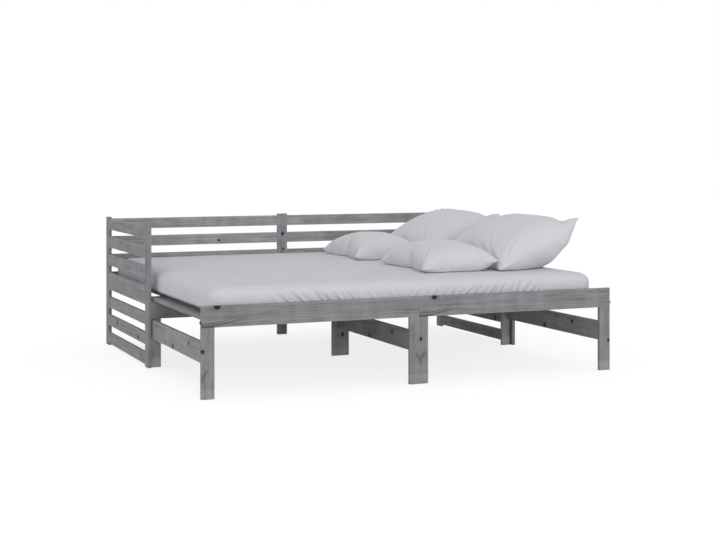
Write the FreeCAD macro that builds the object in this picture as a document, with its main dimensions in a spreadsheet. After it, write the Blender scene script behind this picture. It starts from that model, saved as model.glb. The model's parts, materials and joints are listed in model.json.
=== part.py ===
import FreeCAD, Part
import math
import os
import Sketcher

# Pull-out daybed in millimetres: X along its length, Y from front to back, Z up from the floor
SIZES = {
    # Whole bed, drawn out: end panels stand at the back, the front rail is pulled forward
    "overall_length": 2045,
    "panel_depth": 925,
    "reach": 915,
    # Boards, all planed to one thickness in two widths
    "board_thick": 18,
    "narrow_board": 58,
    "wide_board": 92,
    "edge_ease": 1.5,
    # End panels and back
    "foot_gap": 12,
    "rail_gap": 39.5,
    "bed_rail_rise": 46.5,
    "post_proud": 10,
    # Two decks of slats that mesh like combs
    "deck_height": 350,
    "slat_width": 58,
    "slat_thick": 18,
    "slat_pitch": 161.5,
    "slat_end_gap": 2,
    "slat_drop": 4,
    "notch_side": 8,
    "notch_under": 2,
    "ledger_height": 26,
    # Pull-out frame
    "rear_leg_width": 48,
    "side_gap": 4.5,
    "stop_gap": 1,
    "beam_gap": 6,
    # Bolt heads on the ends of the front rail
    "bolt_head": 15,
    "bolt_rise": 4.5,
    "bolt_level": 22,
    # Mattresses: their gaps to the frame and to each other, and their rounding
    "mattress_thick": 125,
    "mattress_left_gap": 14.5,
    "mattress_right_gap": 54.5,
    "mattress_front_gap": 12,
    "mattress_back_gap": 4,
    "mattress_seam": 2,
    "mattress_corner": 62,
    "mattress_roll": 42,
    "rest_gap": 0.4,
    # Pillows: size over the corners, how far the sides and ends draw in, and how deep they settle
    "large_length": 690,
    "large_width": 476,
    "large_thick": 234,
    "large_draw_side": 60,
    "large_draw_end": 48,
    "large_settle": 41,
    "small_length": 570,
    "small_width": 390,
    "small_thick": 145,
    "small_draw_side": 52,
    "small_draw_end": 40,
    "small_settle": 26,
    "pillow_edge": 14,
    "pillow_fullness": 1.3,
    # Pillow places: past the end of the mattress, clear of each other, and off the mattress's middle
    "large_overhang": 44,
    "small_gap": 24,
    "large_rear_shift": -15,
    "large_front_shift": 70,
    "small_rear_shift": 5,
    "small_front_shift": 85,
}

# Degrees: how far the pillows lean back, and where their long sides point
LARGE_LEAN = 26
SMALL_LEAN = 4
PILLOW_TURNS = {"large_rear": 91, "large_front": 91, "small_rear": 84, "small_front": 88}

DERIVED = {
    "half_length": "overall_length / 2",
    "inner_half": "half_length - board_thick",
    "pull_half": "inner_half - side_gap",
    "front_y": "-(panel_depth + reach) / 2",
    "post_y": "front_y + reach",
    "back_y": "post_y + panel_depth",
    "level_4": "deck_height + bed_rail_rise - wide_board",
    "lower_gap": "(level_4 - foot_gap) / 3 - narrow_board",
    "level_1": "foot_gap",
    "level_2": "level_1 + narrow_board + lower_gap",
    "level_3": "level_2 + narrow_board + lower_gap",
    "level_5": "level_4 + wide_board + rail_gap",
    "level_6": "level_5 + narrow_board + rail_gap",
    "level_7": "level_6 + narrow_board + rail_gap",
    "post_height": "level_7 + narrow_board + post_proud",
    "slat_under": "deck_height - slat_thick",
    "pull_under": "slat_under - slat_drop",
    "slat_run": "pull_half - slat_end_gap - slat_width / 2",
    "slats_a_side": "round(slat_run / slat_pitch)",
    "slat_spacing": "slat_run / slats_a_side",
    "beam_under": "slat_under - wide_board",
    "stretcher_under": "beam_under - beam_gap - wide_board",
    "rear_leg_y": "post_y + board_thick + stop_gap",
    "half_lap": "board_thick / 2",
    "bed_level": "deck_height + rest_gap",
    "bed_top": "bed_level + mattress_thick",
    "mattress_left": "-inner_half + mattress_left_gap",
    "mattress_right": "inner_half - mattress_right_gap",
    "mattress_length": "mattress_right - mattress_left",
    "mattress_front": "front_y + board_thick + mattress_front_gap",
    "mattress_back": "back_y - board_thick - mattress_back_gap",
    "mattress_width": "(mattress_back - mattress_front - mattress_seam) / 2",
    "rear_middle": "mattress_back - mattress_width / 2",
    "front_middle": "mattress_front + mattress_width / 2",
    "large_span": "large_width * cos(%g)" % LARGE_LEAN,
    "small_span": "small_width * cos(%g)" % SMALL_LEAN,
    "large_x": "mattress_right + large_overhang - large_span / 2",
    "small_x": "large_x - large_span / 2 - small_gap - small_span / 2",
}

os.makedirs("parts", exist_ok=True)
doc = FreeCAD.newDocument("daybed")
sheet = doc.addObject("Spreadsheet::Sheet", "sizes")
cells = [(name, str(value)) for name, value in SIZES.items()]
cells += [(name, "=" + formula) for name, formula in DERIVED.items()]
for row, (name, text) in enumerate(cells, start=1):
    sheet.set("A%d" % row, name)
    sheet.set("B%d" % row, text)
    sheet.setAlias("B%d" % row, name)
doc.recompute()
NAMES = sorted([name for name, _ in cells], key=len, reverse=True)
nodes = []


def bound(text):
    """Turn the plain names in a formula into references to the sheet."""
    words, word = [], ""
    for letter in text + " ":
        if letter.isalnum() or letter == "_":
            word += letter
            continue
        words.append("sizes." + word if word in NAMES else word)
        words.append(letter)
        word = ""
    return "".join(words).strip()


def number(text):
    return float(sheet.evalExpression(bound(text)))


# Slats to each side of the middle, in either deck
SLATS = int(number("slats_a_side"))


def place(item, x, y, z):
    for axis, text in (("x", x), ("y", y), ("z", z)):
        item.setExpression("Placement.Base." + axis, bound(text))


def new_body(name):
    body = doc.addObject("PartDesign::Body", name)
    body.Label = name
    nodes.append(body)
    return body


def origin_part(body, role):
    return [item for item in body.Origin.OriginFeatures if item.Role == role][0]


def stock(body, kind, name, x_size, y_size, z_size):
    """A squared piece of timber, added to a body or cut from it."""
    box = body.newObject("PartDesign::" + kind, name)
    for prop, text in (("Length", x_size), ("Width", y_size), ("Height", z_size)):
        box.setExpression(prop, bound(text))
    return box


def ease(body, base, edges=None):
    """Break the sharp edges of a board."""
    chamfer = body.newObject("PartDesign::Chamfer", body.Name + "_ease")
    if edges is None:
        chamfer.Base = (base, ["Edge1"])
        chamfer.UseAllEdges = True
    else:
        chamfer.Base = (base, edges)
    chamfer.setExpression("Size", bound("edge_ease"))
    body.Tip = chamfer


def board(name, size, spot):
    """A plain board: its X, Y and Z sizes, and its lowest corner."""
    body = new_body(name)
    box = stock(body, "AdditiveBox", name + "_stock", *size)
    ease(body, box)
    place(body, *spot)
    return body


def profile(body, name, plane, points):
    """A closed outline of straight lines with every corner bound to the sheet."""
    sketch = body.newObject("Sketcher::SketchObject", name)
    sketch.AttachmentSupport = [(origin_part(body, plane), "")]
    sketch.MapMode = "FlatFace"
    spots = [FreeCAD.Vector(number(x), number(y), 0) for x, y in points]
    count = len(points)
    for i in range(count):
        sketch.addGeometry(Part.LineSegment(spots[i], spots[(i + 1) % count]), False)
    for i in range(count):
        sketch.addConstraint(Sketcher.Constraint("Coincident", i, 2, (i + 1) % count, 1))
    for i, (x, y) in enumerate(points):
        for kind, axis, text in (("DistanceX", -2, x), ("DistanceY", -1, y)):
            if text == "0":
                sketch.addConstraint(Sketcher.Constraint("PointOnObject", i, 1, axis))
                continue
            rule = Sketcher.Constraint(kind, -1, 1, i, 1, number(text))
            sketch.setExpression("Constraints[%d]" % sketch.addConstraint(rule), bound(text))
    return sketch


def pad(body, sketch, length):
    solid = body.newObject("PartDesign::Pad", body.Name + "_pad")
    solid.Profile = sketch
    solid.setExpression("Length", bound(length))
    body.Tip = solid
    doc.recompute()
    return solid


def front_edges(solid):
    """Edges that lie in the front face, at Y = 0 of the board."""
    names = []
    for i, edge in enumerate(solid.Shape.Edges, start=1):
        if max(abs(vertex.Y) for vertex in edge.Vertexes) < 1e-6:
            names.append("Edge%d" % i)
    return names


def row(body, feature, pitch, count):
    """Repeat a feature along X."""
    pattern = body.newObject("PartDesign::LinearPattern", body.Name + "_row")
    pattern.Originals = [feature]
    pattern.Direction = (origin_part(body, "X_Axis"), [""])
    pattern.setExpression("Length", bound("%s * %d" % (pitch, count - 1)))
    pattern.Occurrences = count
    body.Tip = pattern
    return pattern


# End panels: two posts with seven boards between them, the fourth one wide
END_BOARDS = ["narrow_board"] * 3 + ["wide_board"] + ["narrow_board"] * 3
for side, left_face in (("left", "-half_length"), ("right", "inner_half")):
    post = ("board_thick", "narrow_board", "post_height")
    board(side + "_front_post", post, (left_face, "post_y", "0"))
    board(side + "_rear_post", post, (left_face, "back_y - narrow_board", "0"))
    for level, height in enumerate(END_BOARDS, start=1):
        board(
            "%s_end_board_%d" % (side, level),
            ("board_thick", "panel_depth - 2 * narrow_board", height),
            (left_face, "post_y + narrow_board", "level_%d" % level),
        )

# Back: a middle post, and in each half a bed rail with three narrower rails above it
board(
    "middle_back_post",
    ("narrow_board", "board_thick", "post_height"),
    ("-narrow_board / 2", "back_y - board_thick", "0"),
)
for side, start in (("left", "-inner_half"), ("right", "narrow_board / 2")):
    bay = "inner_half - narrow_board / 2"
    board(
        side + "_back_bed_rail",
        (bay, "board_thick", "wide_board"),
        (start, "back_y - board_thick", "level_4"),
    )
    for level in (5, 6, 7):
        board(
            "%s_back_rail_%d" % (side, level - 4),
            (bay, "board_thick", "narrow_board"),
            (start, "back_y - board_thick", "level_%d" % level),
        )
    board(
        side + "_back_ledger",
        (bay, "board_thick", "ledger_height"),
        (start, "back_y - 2 * board_thick", "slat_under - ledger_height"),
    )

# Front beam of the fixed half, notched so that the slats of the pull-out run through it
beam = new_body("main_front_beam")
stock(beam, "AdditiveBox", "main_front_beam_stock", "2 * inner_half", "board_thick", "wide_board")
notch = stock(
    beam,
    "SubtractiveBox",
    "main_front_beam_notch",
    "slat_width + 2 * notch_side",
    "board_thick + 2",
    "slat_drop + notch_under + 1",
)
place(
    notch,
    "inner_half - %d * slat_spacing - slat_width / 2 - notch_side" % SLATS,
    "-1",
    "wide_board - slat_drop - notch_under",
)
row(beam, notch, "slat_spacing", 2 * SLATS + 1)
place(beam, "-inner_half", "post_y", "beam_under")

# Slats of the fixed half, from the front beam to the ledgers at the back
for side, first in (("left", "-%g" % (SLATS - 0.5)), ("right", "0.5")):
    body = new_body("main_slats_" + side)
    slat = stock(
        body,
        "AdditiveBox",
        "main_slat_" + side,
        "slat_width",
        "panel_depth - board_thick",
        "slat_thick",
    )
    row(body, slat, "slat_spacing", SLATS)
    place(body, first + " * slat_spacing - slat_width / 2", "post_y", "slat_under")

# Slats of the pull-out, from the front rail to the rear legs, a little lower than the others
PULL_SLATS = {
    "pull_out_slats_left": (-SLATS, SLATS),
    "pull_out_slat_middle": (0, 1),
    "pull_out_slats_right": (1, SLATS),
}
for name, (first, count) in PULL_SLATS.items():
    body = new_body(name)
    run = "reach + stop_gap + board_thick"
    slat = stock(body, "AdditiveBox", name + "_slat", "slat_width", run, "slat_thick")
    if count > 1:
        row(body, slat, "slat_spacing", count)
    place(body, "%d * slat_spacing - slat_width / 2" % first, "front_y + board_thick", "pull_under")

# Front rail in two halves, halved at its ends over the tongues of the legs
HALF_RAIL = [
    ("0", "0"),
    ("half_length", "0"),
    ("half_length", "half_lap"),
    ("half_length - wide_board / 2", "half_lap"),
    ("half_length - wide_board / 2", "board_thick"),
    ("narrow_board", "board_thick"),
    ("narrow_board", "half_lap"),
    ("0", "half_lap"),
]


def from_other_end(x):
    return "0" if x == "half_length" else "half_length - (%s)" % x


TURNED_RAIL = [(from_other_end(x), y) for x, y in HALF_RAIL]
for side, corners, start in (("left", HALF_RAIL, "-half_length"), ("right", TURNED_RAIL, "0")):
    body = new_body("front_rail_" + side)
    solid = pad(body, profile(body, "front_rail_plan_" + side, "XY_Plane", corners), "wide_board")
    ease(body, solid, front_edges(solid))
    place(body, start, "front_y", "level_4")

# Front legs flush with the rail, each with a thin tongue that rises behind it
LEG_SIDE = [
    ("0", "0"),
    ("board_thick", "0"),
    ("board_thick", "level_4 + wide_board"),
    ("half_lap", "level_4 + wide_board"),
    ("half_lap", "level_4"),
    ("0", "level_4"),
]
FRONT_LEGS = {
    "front_leg_left": ("narrow_board", "-half_length"),
    "front_leg_middle": ("wide_board", "-wide_board / 2"),
    "front_leg_right": ("narrow_board", "half_length - narrow_board"),
}
for name, (width, start) in FRONT_LEGS.items():
    body = new_body(name)
    solid = pad(body, profile(body, name + "_side", "YZ_Plane", LEG_SIDE), width)
    ease(body, solid, front_edges(solid))
    place(body, start, "front_y", "0")

# Rear legs of the pull-out: they meet the front beam from behind when it is fully out
REAR_LEGS = {
    "rear_leg_left": ("rear_leg_width", "-pull_half"),
    "rear_leg_middle": ("wide_board", "-wide_board / 2"),
    "rear_leg_right": ("rear_leg_width", "pull_half - rear_leg_width"),
}
for name, (width, start) in REAR_LEGS.items():
    board(name, (width, "board_thick", "pull_under"), (start, "rear_leg_y", "0"))

# Stretchers under the front beam, from each front leg to its rear leg
STRETCHERS = {
    "stretcher_left": "-pull_half",
    "stretcher_middle": "-board_thick / 2",
    "stretcher_right": "pull_half - board_thick",
}
for name, start in STRETCHERS.items():
    board(
        name,
        ("board_thick", "reach + stop_gap", "wide_board"),
        (start, "front_y + board_thick", "stretcher_under"),
    )

# Cross rails between the rear legs, and the ledger that ties the two halves of the front rail
for side, start in (("left", "-pull_half + rear_leg_width"), ("right", "wide_board / 2")):
    board(
        "rear_cross_rail_" + side,
        ("pull_half - rear_leg_width - wide_board / 2", "board_thick", "narrow_board"),
        (start, "rear_leg_y", "pull_under - narrow_board"),
    )
board(
    "front_ledger",
    ("2 * pull_half", "board_thick", "ledger_height"),
    ("-pull_half", "front_y + board_thick", "pull_under - ledger_height"),
)

# Bolt heads on the two ends of the front rail
bolts = []
for side, sign in (("left", -1), ("right", 1)):
    head = doc.addObject("Part::Cylinder", "bolt_head_" + side)
    head.setExpression("Radius", bound("bolt_head / 2"))
    head.setExpression("Height", bound("bolt_rise"))
    head.Placement.Rotation = FreeCAD.Rotation(FreeCAD.Vector(0, 1, 0), 90 * sign)
    place(head, "%d * half_length" % sign, "front_y + half_lap", "level_4 + bolt_level")
    bolts.append(head)
group = doc.addObject("Part::Compound", "rail_end_bolts")
group.Label = "rail_end_bolts"
group.Links = bolts
nodes.append(group)


def mattress(name, y):
    """A block with upright corners and a rolled edge all round."""
    body = new_body(name)
    block = stock(body, "AdditiveBox", name + "_block", "mattress_length", "mattress_width", "mattress_thick")
    doc.recompute()
    upright = []
    for i, edge in enumerate(block.Shape.Edges, start=1):
        ends = [vertex.Point for vertex in edge.Vertexes]
        if abs(ends[0].z - ends[1].z) > 1:
            upright.append("Edge%d" % i)
    corner = body.newObject("PartDesign::Fillet", name + "_corner")
    corner.Base = (block, upright)
    corner.setExpression("Radius", bound("mattress_corner"))
    doc.recompute()
    rims = []
    for i, edge in enumerate(corner.Shape.Edges, start=1):
        ends = [vertex.Point for vertex in edge.Vertexes]
        if abs(ends[0].z - ends[-1].z) < 1e-6:
            rims.append("Edge%d" % i)
    roll = body.newObject("PartDesign::Fillet", name + "_roll")
    roll.Base = (corner, rims)
    roll.setExpression("Radius", bound("mattress_roll"))
    body.Tip = roll
    place(body, "mattress_left", y, "bed_level")


mattress("mattress_rear", "mattress_back - mattress_width")
mattress("mattress_front", "mattress_front")


def lens(body, plane, length, thick, depth):
    """A bar with a lens-shaped section, two shallow arcs between thin rims, drawn out to both sides."""
    name = body.Name + "_lens"
    sketch = body.newObject("Sketcher::SketchObject", name)
    sketch.AttachmentSupport = [(origin_part(body, plane), "")]
    sketch.MapMode = "FlatFace"
    reach, rim = number(length) / 2, number("pillow_edge") / 2
    rise = number(thick) / 2 - rim
    radius = (reach ** 2 + rise ** 2) / (2 * rise)
    low = math.atan2(radius - rise, reach)
    sweep = math.pi - 2 * low
    axis = FreeCAD.Vector(0, 0, 1)
    upper = Part.Circle(FreeCAD.Vector(0, rim + rise - radius, 0), axis, radius)
    under = Part.Circle(FreeCAD.Vector(0, radius - rim - rise, 0), axis, radius)
    corners = [FreeCAD.Vector(x * reach, y * rim, 0) for x, y in ((-1, 1), (-1, -1), (1, -1), (1, 1))]
    sketch.addGeometry(Part.ArcOfCircle(upper, low, low + sweep), False)
    sketch.addGeometry(Part.LineSegment(corners[0], corners[1]), False)
    sketch.addGeometry(Part.ArcOfCircle(under, math.pi + low, math.pi + low + sweep), False)
    sketch.addGeometry(Part.LineSegment(corners[2], corners[3]), False)
    for i in range(4):
        sketch.addConstraint(Sketcher.Constraint("Coincident", i, 2, (i + 1) % 4, 1))
    sketch.addConstraint(Sketcher.Constraint("Symmetric", 0, 2, 0, 1, -2))
    sketch.addConstraint(Sketcher.Constraint("Symmetric", 1, 1, 1, 2, -1))
    sketch.addConstraint(Sketcher.Constraint("Symmetric", 3, 1, 3, 2, -1))
    sketch.addConstraint(Sketcher.Constraint("Equal", 0, 2))
    bend = "((%s)^2 / 4 + ((%s) / 2 - pillow_edge / 2)^2) / (%s - pillow_edge)" % (length, thick, thick)
    rules = (
        (Sketcher.Constraint("DistanceX", 0, 2, 0, 1, 2 * reach), length),
        (Sketcher.Constraint("DistanceY", 1, 2, 1, 1, 2 * rim), "pillow_edge"),
        (Sketcher.Constraint("Radius", 0, radius), bend),
    )
    for rule, text in rules:
        sketch.setExpression("Constraints[%d]" % sketch.addConstraint(rule), bound(text))
    bar = pad(body, sketch, depth)
    bar.Midplane = True
    return bar


def pillow(name, kind, y, turn, lean):
    """A stuffed pillow: full in the middle, thin at its seams, drawn in between its four corners."""
    body = new_body(name)
    length, width, thick = kind + "_length", kind + "_width", kind + "_thick"
    lens(body, "YZ_Plane", width, thick, length)
    across = doc.addObject("PartDesign::Body", name + "_across")
    lens(across, "XZ_Plane", length, "%s * pillow_fullness" % thick, width)
    both = body.newObject("PartDesign::Boolean", name + "_both")
    both.Type = "Common"
    both.setObjects([across])
    drawn = (("end", length, width, 1, 0), ("side", width, length, 0, 1))
    for edge, span, chord, x, y_part in drawn:
        draw = "%s_draw_%s" % (kind, edge)
        bow = "(%s^2 / 4 + %s^2) / (2 * %s)" % (chord, draw, draw)
        for side, sign in (("near", -1), ("far", 1)):
            cut = body.newObject("PartDesign::SubtractiveCylinder", "%s_%s_%s" % (name, side, edge))
            cut.setExpression("Radius", bound(bow))
            cut.setExpression("Height", bound(thick))
            middle = "%d * (%s / 2 - %s + %s)" % (sign, span, draw, bow)
            place(cut, middle if x else "0", middle if y_part else "0", "-%s / 2" % thick)
    doc.recompute()
    rotation = FreeCAD.Rotation(turn, 0, -lean)
    turned = body.Shape.copy()
    turned.Placement = FreeCAD.Placement(FreeCAD.Vector(), rotation)
    lowest = turned.optimalBoundingBox(False, False).ZMin
    settle(body, rotation, lowest + number(kind + "_settle"))
    body.Placement.Rotation = rotation
    place(body, kind + "_x", y, "bed_top + rest_gap - %s_settle + %.4f" % (kind, -lowest))


def settle(body, rotation, level):
    """Flatten a pillow where it rests on the mattress."""
    upright = rotation.inverted()
    press = body.newObject("PartDesign::SubtractiveBox", body.Name + "_rest")
    reach = 2 * body.Shape.BoundBox.DiagonalLength
    press.Length, press.Width, press.Height = reach, reach, reach
    corner = FreeCAD.Vector(-reach / 2, -reach / 2, level - reach)
    press.Placement = FreeCAD.Placement(upright.multVec(corner), upright)
    body.Tip = press
    doc.recompute()


# Two large pillows lean back at the right end, two small ones lie before them
for name, turn in PILLOW_TURNS.items():
    kind, row_name = name.split("_")
    lean = LARGE_LEAN if kind == "large" else SMALL_LEAN
    pillow("pillow_" + name, kind, "%s_middle + %s_shift" % (row_name, name), turn, lean)

doc.recompute()
for item in doc.Objects:
    if "Invalid" in item.State or "Error" in item.State:
        raise RuntimeError("%s did not build: %s" % (item.Name, item.State))
for node in nodes:
    if node.Shape.isNull() or not node.Shape.isValid():
        raise RuntimeError("%s has no valid shape" % node.Label)
    node.Shape.exportStep("parts/%s.step" % node.Label)
print("%d nodes" % len(nodes))
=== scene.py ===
import functools
import json
import math
import random

import bpy
import numpy as np
from mathutils import Matrix, Vector, noise
from mathutils.bvhtree import BVHTree


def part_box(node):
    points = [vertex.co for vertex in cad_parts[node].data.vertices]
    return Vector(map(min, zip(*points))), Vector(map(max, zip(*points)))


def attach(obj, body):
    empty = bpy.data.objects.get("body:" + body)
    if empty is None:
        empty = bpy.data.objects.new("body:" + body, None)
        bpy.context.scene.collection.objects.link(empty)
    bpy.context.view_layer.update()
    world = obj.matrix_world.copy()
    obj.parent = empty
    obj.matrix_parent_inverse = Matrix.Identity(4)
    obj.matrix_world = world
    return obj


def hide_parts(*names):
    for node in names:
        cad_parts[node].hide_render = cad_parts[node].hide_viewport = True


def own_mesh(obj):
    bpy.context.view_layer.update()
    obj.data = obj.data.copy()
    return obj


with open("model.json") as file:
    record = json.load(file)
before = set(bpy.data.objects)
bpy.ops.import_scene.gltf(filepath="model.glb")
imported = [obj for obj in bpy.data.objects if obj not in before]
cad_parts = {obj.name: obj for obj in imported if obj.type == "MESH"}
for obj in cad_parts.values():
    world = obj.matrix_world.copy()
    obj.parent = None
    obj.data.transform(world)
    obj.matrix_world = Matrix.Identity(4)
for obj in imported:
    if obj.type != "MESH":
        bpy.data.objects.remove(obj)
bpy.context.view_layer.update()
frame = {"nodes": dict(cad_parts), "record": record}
nodes = frame["nodes"]
scene = bpy.context.scene

# Shader helpers


def linear(level):
    """A grey level of 0 to 255, or three of them, as linear colour by the sRGB curve."""
    levels = level if hasattr(level, "__len__") else (level,) * 3
    shares = [value / 255 for value in levels]
    return tuple(s / 12.92 if s < 0.04045 else ((s + 0.055) / 1.055) ** 2.4 for s in shares) + (1,)


def background_rays(tree):
    """1 for rays that show the background: from the camera, in a reflection or through glass."""
    rays = tree.nodes.new("ShaderNodeLightPath").outputs
    seen = rays["Is Camera Ray"]
    for kind in ("Is Glossy Ray", "Is Transmission Ray"):
        either = tree.nodes.new("ShaderNodeMath")
        either.operation = "MAXIMUM"
        tree.links.new(seen, either.inputs[0])
        tree.links.new(rays[kind], either.inputs[1])
        seen = either.outputs[0]
    return seen


class Shader:
    """A material and a few short ways to wire its nodes."""

    def __init__(self, name):
        self.material = bpy.data.materials.new(name)
        self.material.use_nodes = True
        self.tree = self.material.node_tree
        self.bsdf = self.tree.nodes["Principled BSDF"]

    def put(self, socket, value):
        if isinstance(value, bpy.types.NodeSocket):
            self.tree.links.new(value, socket)
        else:
            socket.default_value = value

    def surface(self, name, value):
        """Set or link one of the surface's own sockets."""
        self.put(self.bsdf.inputs[name], value)

    def node(self, kind, inputs=None, **settings):
        node = self.tree.nodes.new(kind)
        for key, value in settings.items():
            setattr(node, key, value)
        for key, value in (inputs or {}).items():
            self.put(node.inputs[key], value)
        return node

    def math(self, operation, *values):
        node = self.node("ShaderNodeMath", operation=operation)
        for socket, value in zip(node.inputs, values):
            self.put(socket, value)
        return node.outputs[0]

    def plus(self, first, second):
        return self.math("ADD", first, second)

    def minus(self, first, second):
        return self.math("SUBTRACT", first, second)

    def times(self, first, second):
        return self.math("MULTIPLY", first, second)

    def times_plus(self, first, second, third):
        return self.math("MULTIPLY_ADD", first, second, third)

    def larger(self, first, second):
        return self.math("MAXIMUM", first, second)

    def square(self, value):
        return self.math("POWER", value, 2.0)

    def length(self, first, second):
        return self.math("SQRT", self.plus(self.square(first), self.square(second)))

    def distance(self, first, second):
        return self.math("ABSOLUTE", self.minus(first, second))

    def steps(self, value, low, high):
        """0 up to low and 1 from high, smooth between them; low may be the larger of the two."""
        inputs = {"Value": value, "From Min": low, "From Max": high}
        return self.node("ShaderNodeMapRange", inputs, interpolation_type="SMOOTHSTEP").outputs["Result"]

    def place(self):
        return self.node("ShaderNodeTexCoord").outputs["Object"]

    def split(self, vector):
        return self.node("ShaderNodeSeparateXYZ", {"Vector": vector}).outputs

    def vector(self, x, y, z):
        return self.node("ShaderNodeCombineXYZ", {"X": x, "Y": y, "Z": z}).outputs[0]

    def noise(self, vector, scale, detail=2.0, roughness=0.5):
        inputs = {"Vector": vector, "Scale": scale, "Detail": detail, "Roughness": roughness}
        return self.node("ShaderNodeTexNoise", inputs).outputs["Fac"]

    def mix(self, factor, first, second):
        node = self.node("ShaderNodeMix", data_type="RGBA")
        for index, value in ((0, factor), (6, first), (7, second)):
            self.put(node.inputs[index], value)
        return node.outputs[2]

    def finish(self, colour, roughness, height, depth):
        bumps = self.node("ShaderNodeBump", {"Height": height, "Distance": depth, "Strength": 1.0})
        self.surface("Base Color", colour)
        self.surface("Roughness", roughness)
        self.surface("Normal", bumps.outputs[0])
        return self.material


# Grey-washed pine

WASH_LIGHT = (145, 146, 148)
WASH_DARK = (79, 80, 82)
KNOT_DARK = linear((26, 26, 28))
WOOD_SPECULAR = 0.25
WOOD_ROUGHNESS = 0.5
FIBRE_ROUGHNESS = 0.25
# Relief: fibres stand up, late wood lies lower, and how deep the whole is
FIBRE_RELIEF = 0.8
LATE_WOOD_RELIEF = -0.5
GRAIN_DEPTH = 0.0004

# How much paler or darker each board is than the front boards, by how the names start
# The rear pieces and stretchers under the bed are painted paler: painted light that lifts the shade there
TONE_AND_PAINTED_LIGHT_SHARES = {
    "left_back_rail": 1.16,
    "right_back_rail": 1.16,
    "middle_back_post": 1.11,
    "stretcher": 1.09,
    "rear_": 1.14,
    "left_end_board": 1.03,
    "left_end": 0.85,
}

# The wash's tone: its lightest and darkest, its base, and what rings, fibres and patches add
TONE_RANGE = (-0.35, 1.5)
TONE_BASE = 0.28
LATE_WOOD_TONE = 0.14
FIBRE_MIDDLE = 0.42
FIBRE_TONE = 1.5
PATCH_MIDDLE = 0.5
PATCH_TONE = 0.7

# Scales of the grain's noises, along a board and across it, and the span of offsets that tell boards apart
FIBRE_SCALES = (5.0, 300.0)
STREAK_SCALES = (2.2, 75.0)
BLOTCH_SCALES = (5.0, 24.0)
BAND_SCALES = (16.0, 6.0)
SEED_SPAN = 40

# Growth rings: their spacing, how far fibres fray them, and where the pith lies and wanders
RING_PITCH = (0.0036, 0.0058)
RING_FRAY = 0.0014
PITH_SPAN = 0.5
PITH_DEPTH = (0.05, 0.12)
PITH_WANDER = 0.05
DRIFT_SCALE = 0.9
SWAY_SCALE = 1.3
# Where late wood darkens and where it ends, as shares of a ring
LATE_WOOD_START = (0.3, 0.85)
LATE_WOOD_END = (1.0, 0.92)

# Knots by board, in metres: along the grain and across it from the board's low corner, and radius
STRETCHER_KNOTS = [(0.259, 0.062, 0.009), (0.522, 0.013, 0.011)]
END_BOARD_KNOTS = [(0.136, 0.020, 0.0105), (0.594, 0.040, 0.011)]
KNOTS = {
    "front_rail_left": [(0.069, 0.088, 0.0125)],
    "front_rail_right": [(0.078, 0.088, 0.0125)],
    "front_leg_left": [(0.204, 0.006, 0.007)],
    "front_leg_middle": [(0.2035, 0.055, 0.007)],
    "front_leg_right": [(0.144, 0.050, 0.006)],
    "rear_leg_middle": [(0.110, 0.056, 0.008)],
    "stretcher_left": STRETCHER_KNOTS,
    "stretcher_middle": STRETCHER_KNOTS,
    "stretcher_right": STRETCHER_KNOTS,
    "left_end_board_2": END_BOARD_KNOTS,
    "right_end_board_2": END_BOARD_KNOTS,
    "left_back_rail_2": [(0.622, 0.021, 0.006)],
    "right_back_rail_2": [(0.800, 0.030, 0.006)],
    "middle_back_post": [(0.495, 0.033, 0.005), (0.583, 0.030, 0.008)],
}
# A knot's width beside its length
KNOT_WIDTH = 0.8
# How far a knot pushes the rings aside, in radii, and how fast that falls off
SWIRL_PUSH = 2.2
SWIRL_FALL = -0.12
# How ragged a knot's outline is
RAGGED_SCALE = 130.0
RAGGED_SPAN = 0.9
RAGGED_LEAST = 0.55
# Where a knot's core and halo fade, in radii, and how dark the halo is
KNOT_CORE = (1.25, 0.7)
KNOT_HALO = (2.4, 1.0)
HALO_DARK = 0.25

# Forked figure over a hidden branch: where the arms meet and end along the board, and its middle across
FORKS = {"front_leg_middle": (0.106, 0.146, 0.052), "front_leg_left": (0.088, 0.130, 0.004)}
# How fast the arms part, where a line's edge fades, and where the figure starts and fades along the board
FORK_SPREAD = 0.58
FORK_LINE = (0.013, 0.003)
FORK_START = (-0.020, -0.010)
FORK_FADE = 0.008
FORK_DARK = 0.36

# Dark grain that rises from the lower edge at a board's low end: height, curve, half thickness and length
RAIL_SWEEPS = [(0.007, 0.78, 0.0022, 0.22), (0.002, 0.10, 0.0045, 0.10), (0.016, 0.95, 0.0016, 0.17)]
SWEEPS = {"front_rail_left": RAIL_SWEEPS, "front_rail_right": RAIL_SWEEPS}
# Where a sweep's edge fades, in half thicknesses, and from what share of its length it dies away
SWEEP_EDGE = (2.2, 0.5)
SWEEP_FADE = 0.4
SWEEP_DARK = 0.6

# Boards whose lowest stretch is paler: its height, soft edge and tone
PALE_FEET = ("front_leg", "rear_leg")
PALE_FOOT_HEIGHT = 0.045
PALE_FOOT_EDGE = 0.004
PALE_FOOT_TONE = -0.34

# Long edges where the wash is worn: from how far in, in which patches, and how pale
WORN_EDGE = (0.006, 0.0015)
WORN_PATCH = (0.35, 0.65)
WORN_TONE = -0.5
# Nodes of slats, whose grain runs front to back
SLAT_ROWS = ("main_slats", "pull_out_slat")


def grain_axes(name):
    """The axes along, across and through a board."""
    if name.startswith(SLAT_ROWS):
        return 1, 0, 2
    low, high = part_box(name)
    return tuple(sorted(range(3), key=lambda axis: low[axis] - high[axis]))


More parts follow.
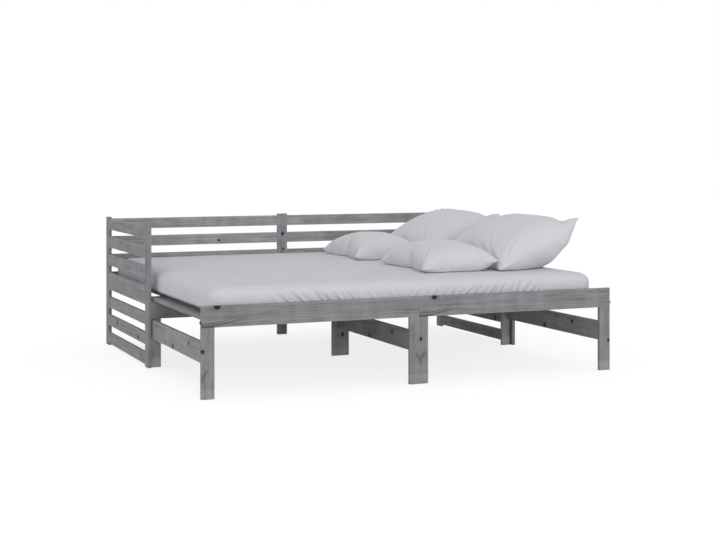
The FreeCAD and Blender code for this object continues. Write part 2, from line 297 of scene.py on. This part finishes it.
class Board(Shader):
    """The shader of one board, with its places along, across and through the grain."""

    def __init__(self, name):
        super().__init__("pine_" + name)
        self.name = name
        self.dice = random.Random(name)
        self.axes = grain_axes(name)
        self.low, self.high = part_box(name)
        self.start = self.low[self.axes[0]]
        self.side_start = self.low[self.axes[1]]
        parts = self.split(self.place())
        self.along, self.across, self.through = [parts[axis] for axis in self.axes]
        self.seed = self.dice.uniform(0, SEED_SPAN)
        self.run = self.plus(self.along, self.seed)

    def grain(self, along, across, depth, detail, roughness=0.5):
        """Noise stretched along the grain."""
        spot = self.vector(self.times(self.run, along), self.times(self.across, across), depth)
        return self.noise(spot, 1.0, detail, roughness)


def ring_radius(board):
    """Distance from a pith beside the board that wanders along it."""
    _, across, through = board.axes
    middle = (board.low + board.high) / 2
    drift = board.noise(board.vector(board.run, board.seed, 0.0), DRIFT_SCALE, detail=1.0)
    sway = board.noise(board.vector(board.run, 0.0, board.seed), SWAY_SCALE, detail=1.0)
    width = board.high[across] - board.low[across]
    pith_across = middle[across] + board.dice.uniform(-PITH_SPAN, PITH_SPAN) * width
    pith_through = middle[through] + board.dice.choice((-1, 1)) * board.dice.uniform(*PITH_DEPTH)
    wander = [board.times_plus(part, PITH_WANDER, -PITH_WANDER / 2) for part in (drift, sway)]
    side = board.plus(board.minus(board.across, pith_across), wander[0])
    deep = board.plus(board.minus(board.through, pith_through), wander[1])
    return board.length(side, deep)


def knots(board, radius):
    """The rings pushed aside by the board's knots, and the knots' dark spots."""
    spots = []
    if board.name not in KNOTS:
        return radius, spots
    ragged = board.times_plus(board.noise(board.place(), RAGGED_SCALE), RAGGED_SPAN, RAGGED_LEAST)
    for knot_along, knot_across, size in KNOTS[board.name]:
        reach = board.times(board.minus(board.along, board.start + knot_along), KNOT_WIDTH)
        off = board.minus(board.across, board.side_start + knot_across)
        ratio = board.math("DIVIDE", board.length(reach, off), size)
        swirl = board.math("EXPONENT", board.times(board.square(ratio), SWIRL_FALL))
        radius = board.times_plus(swirl, SWIRL_PUSH * size, radius)
        ratio = board.times(ratio, ragged)
        halo = board.times(board.steps(ratio, *KNOT_HALO), HALO_DARK)
        spots.append(board.larger(board.steps(ratio, *KNOT_CORE), halo))
    return radius, spots


def fork(board):
    """The dark lines of a forked figure."""
    joint, end, centre = FORKS[board.name]
    rise = board.minus(board.along, board.start + joint)
    spread = board.times(board.larger(rise, 0.0), FORK_SPREAD)
    gap = board.distance(board.distance(board.across, board.side_start + centre), spread)
    arms = board.steps(rise, end - joint, end - joint - FORK_FADE)
    inside = board.times(board.steps(rise, *FORK_START), arms)
    return board.times(board.times(board.steps(gap, *FORK_LINE), inside), FORK_DARK)


def sweep(board, height, curve, thick, length):
    """A dark line that rises from the board's lower edge."""
    reach = board.minus(board.along, board.start)
    rise = board.minus(board.across, board.side_start + height)
    gap = board.distance(rise, board.times(board.square(reach), curve))
    line = board.steps(gap, *[edge * thick for edge in SWEEP_EDGE])
    return board.times(board.times(line, board.steps(reach, length, SWEEP_FADE * length)), SWEEP_DARK)


def edge_gap(board):
    """Distance from the nearest long edge: how far across and how far through the board, added up."""
    gaps = []
    for value, axis in zip((board.across, board.through), board.axes[1:]):
        low_gap = board.minus(value, board.low[axis])
        high_gap = board.minus(board.high[axis], value)
        gaps.append(board.math("MINIMUM", low_gap, high_gap))
    return board.plus(*gaps)


def wash(board, tone):
    """The wash's colour for a tone, made paler or darker by the board's share."""
    # The share paints the rear pieces and stretchers paler, as painted light against the shade under the
    # bed.
    pale = next((share for key, share in TONE_AND_PAINTED_LIGHT_SHARES.items() if board.name.startswith(key)), 1.0)
    limits = {"Value": tone, "Min": TONE_RANGE[0], "Max": TONE_RANGE[1]}
    limited = board.node("ShaderNodeClamp", limits).outputs[0]
    light = linear([level * pale for level in WASH_LIGHT])
    dark = linear([level * pale for level in WASH_DARK])
    return board.mix(board.steps(limited, *TONE_RANGE), light, dark)


def pine(name):
    """Pine under a grey wash, with growth rings about a wandering pith, fibres, knots and worn edges."""
    board = Board(name)
    radius, dark_marks = knots(board, ring_radius(board))
    if name in FORKS:
        dark_marks.append(fork(board))
    dark_marks += [sweep(board, *shape) for shape in SWEEPS.get(name, ())]

    fibre_depth = board.times(board.through, FIBRE_SCALES[1])
    fibre = board.grain(*FIBRE_SCALES, fibre_depth, detail=4.0, roughness=0.65)
    streak = board.grain(*STREAK_SCALES, board.times(board.through, STREAK_SCALES[1]), detail=2.0)
    blotch = board.grain(*BLOTCH_SCALES, board.through, detail=3.0, roughness=0.6)
    band = board.grain(*BAND_SCALES, board.seed, detail=2.0)
    pitch = board.dice.uniform(*RING_PITCH)
    turn = board.math("FRACT", board.math("DIVIDE", board.times_plus(fibre, RING_FRAY, radius), pitch))
    late_wood = board.times(board.steps(turn, *LATE_WOOD_START), board.steps(turn, *LATE_WOOD_END))

    tone = board.times_plus(late_wood, LATE_WOOD_TONE, TONE_BASE)
    tone = board.times_plus(board.minus(fibre, FIBRE_MIDDLE), FIBRE_TONE, tone)
    for patches in (streak, blotch, band):
        tone = board.times_plus(board.minus(patches, PATCH_MIDDLE), PATCH_TONE, tone)
    if name.startswith(PALE_FEET):
        height = board.minus(board.along, board.start)
        pale_foot = board.steps(height, PALE_FOOT_HEIGHT + PALE_FOOT_EDGE, PALE_FOOT_HEIGHT - PALE_FOOT_EDGE)
        tone = board.times_plus(pale_foot, PALE_FOOT_TONE, tone)
    if not name.startswith(SLAT_ROWS):
        worn = board.times(board.steps(edge_gap(board), *WORN_EDGE), board.steps(blotch, *WORN_PATCH))
        tone = board.times_plus(worn, WORN_TONE, tone)

    colour = wash(board, tone)
    if dark_marks:
        colour = board.mix(functools.reduce(board.larger, dark_marks), colour, KNOT_DARK)
    board.surface("Specular IOR Level", WOOD_SPECULAR)
    roughness = board.times_plus(fibre, FIBRE_ROUGHNESS, WOOD_ROUGHNESS)
    relief = board.times_plus(late_wood, LATE_WOOD_RELIEF, board.times(fibre, FIBRE_RELIEF))
    return board.finish(colour, roughness, relief, GRAIN_DEPTH)


# Bolt heads: grey levels, scuffs and the roughness they add
STEEL_DARK = 58
STEEL_LIGHT = 84
SCUFF_SCALE = 900.0
SCUFF_DEPTH = 0.0001
SCUFF_ROUGHNESS = 0.25
STEEL_ROUGHNESS = 0.3


def dark_steel():
    """Scuffed dark steel."""
    shader = Shader("dark_steel")
    scuff = shader.noise(shader.place(), SCUFF_SCALE, detail=3.0)
    colour = shader.mix(scuff, linear(STEEL_DARK), linear(STEEL_LIGHT))
    shader.surface("Metallic", 0.8)
    roughness = shader.times_plus(scuff, SCUFF_ROUGHNESS, STEEL_ROUGHNESS)
    return shader.finish(colour, roughness, scuff, SCUFF_DEPTH)


BEDDING = ("mattress_", "pillow_")
steel = dark_steel()
for name, item in nodes.items():
    if name.startswith(BEDDING):
        continue
    finish = steel if name == "rail_end_bolts" else pine(name)
    item.data.materials.clear()
    item.data.materials.append(finish)

# Bedding

# Covers: grey levels, how far they waver, and what is added to red, green and blue
# The sheet is the pillows' cotton painted a few levels darker: painted shade on the mattress
SHEET_LEVEL = 197
PILLOW_LEVEL = 203
COVER_WAVER = 7
COVER_TINT = (0, 1, 6)
# The weave in radians per metre, the scales of clouds and slubs, and the share of each in the tone
WEAVE_TURN = 5200.0
CLOUD_SCALE = 9.0
SLUB_SCALE = 420.0
CLOUD_TONE = 0.65
SLUB_TONE = 0.35
# Relief and roughness
WEAVE_RELIEF = 0.3
COVER_DEPTH = 0.0003
COVER_ROUGHNESS = 0.85
SLUB_ROUGHNESS = 0.1


def cotton(name, level):
    """A washed cotton cover: a fine plain weave, slubs and soft uneven tone."""
    shader = Shader(name)
    place = shader.place()
    threads = [shader.math("SINE", shader.times(part, WEAVE_TURN)) for part in shader.split(place)]
    weave = shader.times(shader.times(threads[0], threads[1]), threads[2])
    cloud = shader.noise(place, CLOUD_SCALE, detail=3.0)
    slub = shader.noise(place, SLUB_SCALE)
    tone = shader.times_plus(slub, SLUB_TONE, shader.times(cloud, CLOUD_TONE))
    dark = linear([level - COVER_WAVER + tint for tint in COVER_TINT])
    light = linear([level + COVER_WAVER + tint for tint in COVER_TINT])
    colour = shader.mix(tone, dark, light)
    shader.surface("Sheen Weight", 0.1)
    shader.surface("Specular IOR Level", 0.2)
    roughness = shader.times_plus(slub, SLUB_ROUGHNESS, COVER_ROUGHNESS)
    relief = shader.times_plus(weave, WEAVE_RELIEF, slub)
    return shader.finish(colour, roughness, relief, COVER_DEPTH)


# One cotton in two copies: the sheet's copy is painted darker as painted shade
sheet_cover = cotton("washed_cotton_sheet", SHEET_LEVEL)
pillow_cover = cotton("washed_cotton_pillow", PILLOW_LEVEL)


def soft_object(name, points, faces, cover):
    """A smooth mesh object under a cotton cover."""
    mesh = bpy.data.meshes.new(name)
    mesh.from_pydata(points, [], faces)
    mesh.materials.append(cover)
    for face in mesh.polygons:
        face.use_smooth = True
    item = bpy.data.objects.new(name, mesh)
    scene.collection.objects.link(item)
    return item


def bump(value):
    """1 at 0, falling smoothly to either side."""
    return math.exp(-value * value)


def fade(value, low, high):
    """1 below low, 0 above high, smooth between them."""
    share = min(max((high - value) / (high - low), 0), 1)
    return share * share * (3 - 2 * share)


# Mattresses: a soft roll along the outer edges, and a tight one where the two meet
OUTER_ROLL = 0.050
END_ROLL = 0.085
SEAM_ROLL = 0.009
LOWER_ROLL = 0.030
# How much shorter a cover is than its solid, at the left end and the right
END_SLACK = (0.017, 0.001)
# Spacing of the mesh: steps round a roll, along the gathers, along plain faces, and up the sides
ROLL_STEPS = 7
GATHERED_STEP = 0.0045
PLAIN_STEP = 0.024
HEIGHT_STEP = 0.009
# How far the top sinks and the front wavers, and the scales and seeds of both
TOP_SINK = 0.004
TOP_SCALE = 2.6
TOP_SEED = 1.7
FRONT_WAVER = 0.0025
FRONT_SCALES = (9, 12)
FRONT_SEED = 4.1

# Gathers: how far they run from the middle, where they are strongest, and where their lean turns over
GATHER_END = 0.66
GATHER_PEAK = 0.42
GATHER_SPAN = 0.19
GATHER_BASE = 0.55
LEAN_TURN = -0.06
PLEAT_LEAN = (0.45, 1.1)
PLEAT_HEIGHT = (0.03, 0.058)
PLEAT_GROWTH = 0.024
PLEAT_RISE = (0.005, 0.012)
PLEAT_WIDTH = (0.007, 0.0125)
PLEAT_SPACING = (0.034, 0.095)
# A pleat's foot above the mattress's lower face, and from what share of its height it fades
PLEAT_FOOT = 0.036
PLEAT_FADE = 0.35
# A pleat's reach and the hollows beside it, in widths, and the most that pleats rise
PLEAT_REACH = 4
HOLLOW_PLACE = 1.6
HOLLOW_DEPTH = 0.9
PLEAT_LIMIT = 0.010


def spaced(low, high, low_roll, high_roll, step):
    """Places across a block: even between its rolled edges, and at even angles on them."""
    turns = [math.tan(math.pi / 4 * k / ROLL_STEPS) for k in range(ROLL_STEPS + 1)]
    first = [low + low_roll * (1 - turn) for turn in reversed(turns)]
    last = [high - high_roll * (1 - turn) for turn in turns]
    count = max(1, round((last[0] - first[-1]) / step))
    stride = (last[0] - first[-1]) / count
    return first + [first[-1] + stride * k for k in range(1, count)] + last


def block(lines):
    """A closed box of quads over the given places along X, Y and Z."""
    counts = [len(line) - 1 for line in lines]
    points, faces, index = [], [], {}

    def corner(spot):
        if spot not in index:
            index[spot] = len(points)
            points.append(Vector([line[k] for line, k in zip(lines, spot)]))
        return index[spot]

    for axis in range(3):
        first, second = (axis + 1) % 3, (axis + 2) % 3
        for end in (0, counts[axis]):
            for i in range(counts[first]):
                for j in range(counts[second]):
                    quad = []
                    for step_i, step_j in ((0, 0), (1, 0), (1, 1), (0, 1)):
                        spot = [0, 0, 0]
                        spot[axis], spot[first], spot[second] = end, i + step_i, j + step_j
                        quad.append(corner(tuple(spot)))
                    faces.append(quad if end else quad[::-1])
    return points, faces


def gathers():
    """Pleats where the cover is drawn under the front edge: place, lean, height, rise and width."""
    dice = random.Random("gathers")
    pleats = []
    x = -GATHER_END
    while x < GATHER_END:
        strength = GATHER_BASE + (1 - GATHER_BASE) * bump((abs(x) - GATHER_PEAK) / GATHER_SPAN)
        lean = dice.uniform(*PLEAT_LEAN) * (1 if x > LEAN_TURN else -1)
        tall = dice.uniform(*PLEAT_HEIGHT) + PLEAT_GROWTH * strength
        pleats.append((x, lean, tall, dice.uniform(*PLEAT_RISE) * strength, dice.uniform(*PLEAT_WIDTH)))
        x += dice.uniform(*PLEAT_SPACING)
    return pleats


def pleated(x, up, pleats):
    """How far the pleats stand out at a place on the front, and at a height above their foot."""
    total = 0
    for start, slant, tall, rise, width in pleats:
        off = (x - start - slant * up) / width
        if abs(off) < PLEAT_REACH:
            ridge = bump(off) - HOLLOW_DEPTH * bump(abs(off) - HOLLOW_PLACE)
            total += rise * ridge * fade(up, PLEAT_FADE * tall, tall)
    return total


def mattress(node, step, pleats=()):
    """A mattress in its fitted sheet: a block with rolled edges and, along the front, pleats."""
    low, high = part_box(node)
    front = node == "mattress_front"
    low.x += END_SLACK[0]
    high.x -= END_SLACK[1]
    rolls_low = Vector((END_ROLL, OUTER_ROLL if front else SEAM_ROLL, LOWER_ROLL))
    rolls_high = Vector((END_ROLL, SEAM_ROLL if front else OUTER_ROLL, OUTER_ROLL))
    steps = (step, PLAIN_STEP, HEIGHT_STEP)
    lines = [spaced(low[a], high[a], rolls_low[a], rolls_high[a], steps[a]) for a in range(3)]
    points, faces = block(lines)
    flat_low = low + rolls_low
    flat_high = high - rolls_high
    for point in points:
        inner = Vector([min(max(point[a], flat_low[a]), flat_high[a]) for a in range(3)])
        rolls = [rolls_low[a] if point[a] < inner[a] else rolls_high[a] for a in range(3)]
        lean = Vector([(point[a] - inner[a]) / rolls[a] for a in range(3)])
        if lean.length > 1e-9:
            lean.normalize()
            point[:] = [inner[a] + rolls[a] * lean[a] for a in range(3)]
        top = max(lean.z, 0)
        sink = noise.noise((point.x * TOP_SCALE, point.y * TOP_SCALE, TOP_SEED))
        point.z -= TOP_SINK * top * (0.5 + 0.5 * sink)
        side = max(-lean.y, 0) if front else 0
        if side > 0:
            waver = noise.noise((point.x * FRONT_SCALES[0], point.z * FRONT_SCALES[1], FRONT_SEED))
            give = FRONT_WAVER * waver
            give += pleated(point.x, point.z - low.z - PLEAT_FOOT, pleats)
            point.y -= side * min(give, PLEAT_LIMIT)
    return soft_object(node + "_cover", points, faces, sheet_cover)


# Pillows: two flat sheets sewn together round the rim and blown up, then set to size and laid down
SHEET = (0.80, 0.60)
CELL = 0.02
ROUNDING = 0.3
# How far the sheets stand apart before they are blown up, beside the rim and in the middle
RIM_GAP = 0.001
FIRST_RISE = 0.012
FRAMES = 60
PRESSURE = 8
# How often the rim and the sheets are smoothed, and by how much, and how often faces are then divided
RIM_PASSES = 3
SHEET_PASSES = 9
SOFTENING = 0.5
FINER_LEVELS = 2
# How far the sides between the corners are let out, or drawn in where it is below 0
SIDE_EASES = {"large": 0.2, "small": -0.3}
# Power of the upper sheet's height: below 1, a small pillow is fuller towards its rim than the stuffed case
FULLNESS = 0.75


def pillow_case():
    """The flat case: two sheets that share their rim, with the corners drawn in."""
    counts = [round(side / CELL) for side in SHEET]
    points, faces, index = [], [], {}
    for i in range(counts[0] + 1):
        for j in range(counts[1] + 1):
            x = 2 * i / counts[0] - 1
            y = 2 * j / counts[1] - 1
            rim = i in (0, counts[0]) or j in (0, counts[1])
            rise = RIM_GAP + FIRST_RISE * math.cos(math.pi * x / 2) * math.cos(math.pi * y / 2)
            cut_x = x * math.sqrt(1 - ROUNDING * y * y / 2) * SHEET[0] / 2
            cut_y = y * math.sqrt(1 - ROUNDING * x * x / 2) * SHEET[1] / 2
            for sheet in (1, -1):
                if rim and sheet < 0:
                    index[i, j, sheet] = index[i, j, 1]
                    continue
                index[i, j, sheet] = len(points)
                points.append((cut_x, cut_y, 0 if rim else sheet * rise))
    for i in range(counts[0]):
        for j in range(counts[1]):
            for sheet in (1, -1):
                quad = [index[i + a, j + b, sheet] for a, b in ((0, 0), (1, 0), (1, 1), (0, 1))]
                faces.append(quad[::sheet])
    return points, faces


def blown_up(points, faces):
    """The case after cloth simulation under pressure."""
    mesh = bpy.data.meshes.new("case")
    mesh.from_pydata(points, [], faces)
    case = bpy.data.objects.new("case", mesh)
    scene.collection.objects.link(case)
    cloth = case.modifiers.new("stuffing", "CLOTH")
    settings = cloth.settings
    settings.quality = 6
    settings.mass = 0.2
    settings.air_damping = 1.5
    settings.tension_stiffness = 20
    settings.compression_stiffness = 20
    settings.shear_stiffness = 8
    settings.bending_stiffness = 0.3
    settings.use_pressure = True
    settings.uniform_pressure_force = PRESSURE
    settings.effector_weights.gravity = 0
    cloth.collision_settings.use_collision = False
    cloth.point_cache.frame_start = 1
    cloth.point_cache.frame_end = FRAMES
    for step in range(1, FRAMES + 1):
        scene.frame_set(step)
    shape = case.evaluated_get(bpy.context.evaluated_depsgraph_get()).data
    result = [vertex.co.copy() for vertex in shape.vertices]
    bpy.data.objects.remove(case)
    scene.frame_set(1)
    return result


def finer(points, faces, levels):
    """The same closed form over smaller faces."""
    mesh = bpy.data.meshes.new("finer")
    mesh.from_pydata(points, [], faces)
    item = bpy.data.objects.new("finer", mesh)
    scene.collection.objects.link(item)
    item.modifiers.new("smooth", "SUBSURF").levels = levels
    shape = item.evaluated_get(bpy.context.evaluated_depsgraph_get()).data
    fine_points = [vertex.co.copy() for vertex in shape.vertices]
    fine_faces = [tuple(face.vertices) for face in shape.polygons]
    bpy.data.objects.remove(item)
    return fine_points, fine_faces


def eased(flat, shape, ease):
    """The stuffed case with its sides let out between the corners, or drawn in where ease is below 0."""
    middles = [max(abs(p[a]) for f, p in zip(flat, shape) if abs(f[1 - a]) < CELL / 4) for a in range(2)]
    corners = [max(abs(p[a]) for p in shape) for a in range(2)]
    result = []
    for point in shape:
        moved = point.copy()
        for a in range(2):
            reach = min(abs(point[1 - a]) / corners[1 - a], 1) ** 2
            drawn = middles[a] + (corners[a] - middles[a]) * reach
            moved[a] *= 1 + ease * (corners[a] / drawn - 1)
        result.append(moved)
    return result


def stuffed_case():
    """The flat case, the same case stuffed and with its puckers softened, and their faces."""
    points, faces = pillow_case()
    shape = blown_up(points, faces)
    near = [set() for _ in shape]
    for face in faces:
        for a, b in zip(face, face[1:] + face[:1]):
            near[a].add(b)
            near[b].add(a)
    rim = {k for k, point in enumerate(points) if point[2] == 0}
    for turn in range(SHEET_PASSES):
        means = [sum((shape[k] for k in ring), Vector()) / len(ring) for ring in near]
        still = rim if turn >= RIM_PASSES else ()
        softer = [p.lerp(mean, SOFTENING) for p, mean in zip(shape, means)]
        shape = [p if k in still else softer[k] for k, p in enumerate(shape)]
    return points, shape, faces


def unit_pillow(flat, shape, faces, ease):
    """A stuffed pillow of size 1 along each axis."""
    shape, faces = finer(eased(flat, shape, ease), faces, FINER_LEVELS)
    spans = [2 * max(abs(point[a]) for point in shape) for a in range(3)]
    return [Vector([point[a] / spans[a] for a in range(3)]) for point in shape], faces


# Folds in from each corner: how many, how far they fan out, where they start, how long and how deep
CORNER_FOLDS = 5
CORNER_FAN = 0.55
CORNER_START = (0.05, 0.12)
CORNER_LENGTH = (0.07, 0.20)
CORNER_DEPTH = (0.002, 0.0045)
# Folds in from the long sides: how many, their places as shares of the size, their slant and length
SIDE_FOLDS = 12
SIDE_SPAN = 0.32
SIDE_PLACE = 0.47
SIDE_SLANT = 0.3
SIDE_LENGTH = (0.04, 0.11)
# Folds in the middle: how many, their places as shares of the size, and half their length
MIDDLE_FOLDS = 5
MIDDLE_SPAN = 0.3
MIDDLE_LENGTH = (0.03, 0.07)
SHALLOW_DEPTH = (0.0015, 0.003)
FOLD_WIDTH = (0.006, 0.010)
# The ridges beside a fold: height beside its depth, and place in half widths
FOLD_RIDGE = 0.45
RIDGE_PLACE = 2


def creases(node, size):
    """Folds of the cover by the corners, by the rim and in the middle: start, end, depth and half width."""
    dice = random.Random(node)
    lines = []
    for side_x, side_y in ((-1, -1), (1, -1), (1, 1), (-1, 1)):
        corner = Vector((side_x * size[0] / 2, side_y * size[1] / 2))
        for _ in range(CORNER_FOLDS):
            inward = math.atan2(-side_y * size[1], -side_x * size[0])
            heading = inward + dice.uniform(-CORNER_FAN, CORNER_FAN)
            way = Vector((math.cos(heading), math.sin(heading)))
            start = corner + way * dice.uniform(*CORNER_START)
            lines.append((start, start + way * dice.uniform(*CORNER_LENGTH), dice.uniform(*CORNER_DEPTH)))
    for _ in range(SIDE_FOLDS):
        x = dice.uniform(-SIDE_SPAN, SIDE_SPAN) * size[0]
        start = Vector((x, dice.choice((-SIDE_PLACE, SIDE_PLACE)) * size[1]))
        way = Vector((dice.uniform(-SIDE_SLANT, SIDE_SLANT), -math.copysign(1, start.y))).normalized()
        lines.append((start, start + way * dice.uniform(*SIDE_LENGTH), dice.uniform(*SHALLOW_DEPTH)))
    for _ in range(MIDDLE_FOLDS):
        x = dice.uniform(-MIDDLE_SPAN, MIDDLE_SPAN) * size[0]
        middle = Vector((x, dice.uniform(-MIDDLE_SPAN, MIDDLE_SPAN) * size[1]))
        heading = dice.uniform(0, math.pi)
        way = Vector((math.cos(heading), math.sin(heading))) * dice.uniform(*MIDDLE_LENGTH)
        lines.append((middle - way, middle + way, dice.uniform(*SHALLOW_DEPTH)))
    return [(start, end, depth, dice.uniform(*FOLD_WIDTH)) for start, end, depth in lines]


def creased(node, size, unit, faces):
    """The unit pillow at its size, with the cover's folds pressed in."""
    mesh = bpy.data.meshes.new("creased")
    length, width, upper, lower = size
    power = FULLNESS if "small" in node else 1.0
    heights = [upper * (2 * p.z) ** power if p.z > 0 else lower * 2 * p.z for p in unit]
    mesh.from_pydata([(p.x * length, p.y * width, z) for p, z in zip(unit, heights)], [], faces)
    places = np.array([vertex.co for vertex in mesh.vertices])
    normals = np.array([vertex.normal for vertex in mesh.vertices])
    bpy.data.meshes.remove(mesh)
    depth = np.zeros(len(places))
    for start, end, deep, half_width in creases(node, size):
        way = np.array(end - start)
        reach = np.linalg.norm(way)
        away = places[:, :2] - np.array(start)
        share = np.clip(away @ way / reach ** 2, 0, 1)
        gap = np.abs(away @ np.array((-way[1], way[0]))) / reach / half_width
        fold = np.exp(-gap ** 2) - FOLD_RIDGE * np.exp(-(gap - RIDGE_PLACE) ** 2)
        depth += deep * np.sin(np.pi * share) * fold
    return [Vector(point) for point in places - normals * depth[:, None]]


# Length, width, and height above and below the seam; middle on the plan; turn, pitch and lean in degrees;
# and how deep it sinks in
PILLOWS = {
    "pillow_large_rear": ((0.670, 0.526, 0.122, 0.122), (0.751, 0.410), (90.2, -1.2, -24.6), 0.0557),
    "pillow_large_front": ((0.670, 0.508, 0.127, 0.127), (0.760, -0.375), (91.9, -0.1, -23.1), 0.0483),
    "pillow_small_rear": ((0.590, 0.400, 0.117, 0.100), (0.370, 0.446), (86.0, 0.0, 0.0), 0.083),
    "pillow_small_front": ((0.600, 0.398, 0.104, 0.100), (0.364, -0.374), (86.0, 0.0, -4.6), 0.071),
}
# Room left under a pillow, and between a small pillow and the large one behind it
REST_GAP = 0.0004
LEAN_GAP = 0.003
# The raised corner of a large pillow: its reach and pull, and the hollow below it
EAR_REACH = 0.15
EAR_POWER = 1.5
EAR_PULLS = {"pillow_large_rear": (-0.015, 0.0, 0.034), "pillow_large_front": (-0.010, 0.0, 0.042)}
EAR_HOLLOW = 0.010
EAR_HOLLOW_PLACE = 0.10
EAR_HOLLOW_WIDTH = 0.035
# How far a large pillow spreads at its foot, to what height, and how gently it starts on the plan
FOOT_SPREAD = 0.085
FOOT_HEIGHT = 0.13
FOOT_POWER = 1.5
FOOT_BLEND = 0.1
# Where the rays that find the large pillow start along X, to the left of all pillows
RAY_START = -1


def settle(node, unit, points, bed):
    """Raise one corner of a large pillow and spread its foot."""
    middle_x = PILLOWS[node][1][0]
    corner = max(range(len(unit)), key=lambda k: -unit[k].x - unit[k].y - abs(unit[k].z))
    tip = points[corner].copy()
    for point in points:
        gap = (point - tip).length
        rise = max(point.z - bed, 0)
        point += Vector(EAR_PULLS[node]) * fade(gap, 0, EAR_REACH) ** EAR_POWER
        point.z -= EAR_HOLLOW * bump((gap - EAR_HOLLOW_PLACE) / EAR_HOLLOW_WIDTH)
        spread = FOOT_SPREAD * max(1 - rise / FOOT_HEIGHT, 0) ** FOOT_POWER
        point.x += spread * (1 - fade(point.x - middle_x, -FOOT_BLEND, FOOT_BLEND))


def trim(item, behind, bed):
    """Keep a small pillow clear of the large one behind it."""
    surface = BVHTree.FromObject(behind, bpy.context.evaluated_depsgraph_get())
    for vertex in item.data.vertices:
        level = max(vertex.co.z, bed + LEAN_GAP)
        place = surface.ray_cast(Vector((RAY_START, vertex.co.y, level)), Vector((1, 0, 0)))[0]
        if place:
            vertex.co.x = min(vertex.co.x, place.x - LEAN_GAP)


def pillow(node, unit, faces, behind=None):
    """A pillow in its place on the bed."""
    size, spot, angles, sink = PILLOWS[node]
    turn, pitch, lean = [math.radians(angle) for angle in angles]
    pose = Matrix.Rotation(turn, 3, "Z") @ Matrix.Rotation(pitch, 3, "Y") @ Matrix.Rotation(lean, 3, "X")
    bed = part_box("mattress_front")[1].z + REST_GAP
    points = [pose @ point for point in creased(node, size, unit, faces)]
    lowest = min(point.z for point in points)
    points = [point + Vector((spot[0], spot[1], bed - sink - lowest)) for point in points]
    if "large" in node:
        settle(node, unit, points, bed)
    for point in points:
        point.z = max(point.z, bed)
    item = soft_object(node + "_cover", points, faces, pillow_cover)
    if behind:
        trim(item, behind, bed)
    return item


bodies = frame["record"]["behaviour"]["bodies"]
node_body = {node: body for body, members in bodies.items() for node in members}


def dress(item, node):
    """Let a soft piece stand for its node, hung on the node's body."""
    body = node_body[node]
    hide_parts(node)
    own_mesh(item)
    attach(item, body)


dress(mattress("mattress_front", GATHERED_STEP, gathers()), "mattress_front")
dress(mattress("mattress_rear", PLAIN_STEP), "mattress_rear")
case = stuffed_case()
units = {kind: unit_pillow(*case, ease) for kind, ease in SIDE_EASES.items()}
for row in ("rear", "front"):
    large = pillow("pillow_large_" + row, *units["large"])
    small = pillow("pillow_small_" + row, *units["small"], behind=large)
    dress(large, "pillow_large_" + row)
    dress(small, "pillow_small_" + row)

# Floor

FLOOR_HALF = 30.0
# The floor's own grey where it lights the object, and its grey and glow where it is seen
FLOOR_GREY = (0.92, 0.92, 0.92, 1)
FLOOR_SEEN_GREY = (0.24, 0.24, 0.24, 1)
FLOOR_GLOW = 0.81


def pale_floor():
    """A pale floor that keeps the shadow."""
    shader = Shader("pale_floor")
    seen = background_rays(shader.tree)
    shader.surface("Base Color", shader.mix(seen, FLOOR_GREY, FLOOR_SEEN_GREY))
    shader.surface("Roughness", 0.9)
    shader.surface("Specular IOR Level", 0.0)
    shader.surface("Emission Color", (1, 1, 1, 1))
    shader.surface("Emission Strength", shader.times(seen, FLOOR_GLOW))
    return shader.material


floor_mesh = bpy.data.meshes.new("floor")
floor_corners = [(x * FLOOR_HALF, y * FLOOR_HALF, 0) for x, y in ((-1, -1), (1, -1), (1, 1), (-1, 1))]
floor_mesh.from_pydata(floor_corners, [], [(0, 1, 2, 3)])
floor_mesh.materials.append(pale_floor())
floor = bpy.data.objects.new("floor", floor_mesh)
scene.collection.objects.link(floor)

# Light

# The world's strength where it lights the object and where it is seen
WORLD_LIGHT = 0.80
WORLD_SEEN = 1.0
world = bpy.data.worlds.new("studio")
scene.world = world
world.use_nodes = True
tree = world.node_tree
background = tree.nodes["Background"]
background.inputs["Color"].default_value = (1, 1, 1, 1)
strength = tree.nodes.new("ShaderNodeMapRange")
strength.inputs["To Min"].default_value = WORLD_LIGHT
strength.inputs["To Max"].default_value = WORLD_SEEN
tree.links.new(background_rays(tree), strength.inputs["Value"])
tree.links.new(strength.outputs["Result"], background.inputs["Strength"])

# One large soft lamp in front of the bed
LAMP_SPOT = Vector((-2.4, -12.0, 3.6))
LAMP_TARGET = Vector((0, 0, 0.35))
light = bpy.data.lights.new("key", "AREA")
light.size = 6.5
light.energy = 440
lamp = bpy.data.objects.new("key", light)
lamp.location = LAMP_SPOT
lamp.rotation_euler = (LAMP_TARGET - LAMP_SPOT).to_track_quat("-Z", "Y").to_euler()
scene.collection.objects.link(lamp)

# Camera

# The photograph's camera, level and shifted down, with lengths in pixels of the photograph
CAMERA_SPOT = (-2.63184, -6.37992, 1.04093)
CAMERA_YAW = math.radians(23.1117)
PHOTO_WIDTH = 716
FOCAL_PIXELS = 1335.07
HORIZON_RISE = 115.55
SENSOR = 36.0
camera_data = bpy.data.cameras.new("camera")
camera_data.sensor_width = SENSOR
camera_data.lens = SENSOR * FOCAL_PIXELS / PHOTO_WIDTH
camera_data.shift_y = -HORIZON_RISE / PHOTO_WIDTH
camera = bpy.data.objects.new("camera", camera_data)
camera.location = CAMERA_SPOT
camera.rotation_euler = (math.radians(90), 0, -CAMERA_YAW)
scene.collection.objects.link(camera)
scene.camera = camera

scene.view_settings.view_transform = "Standard"
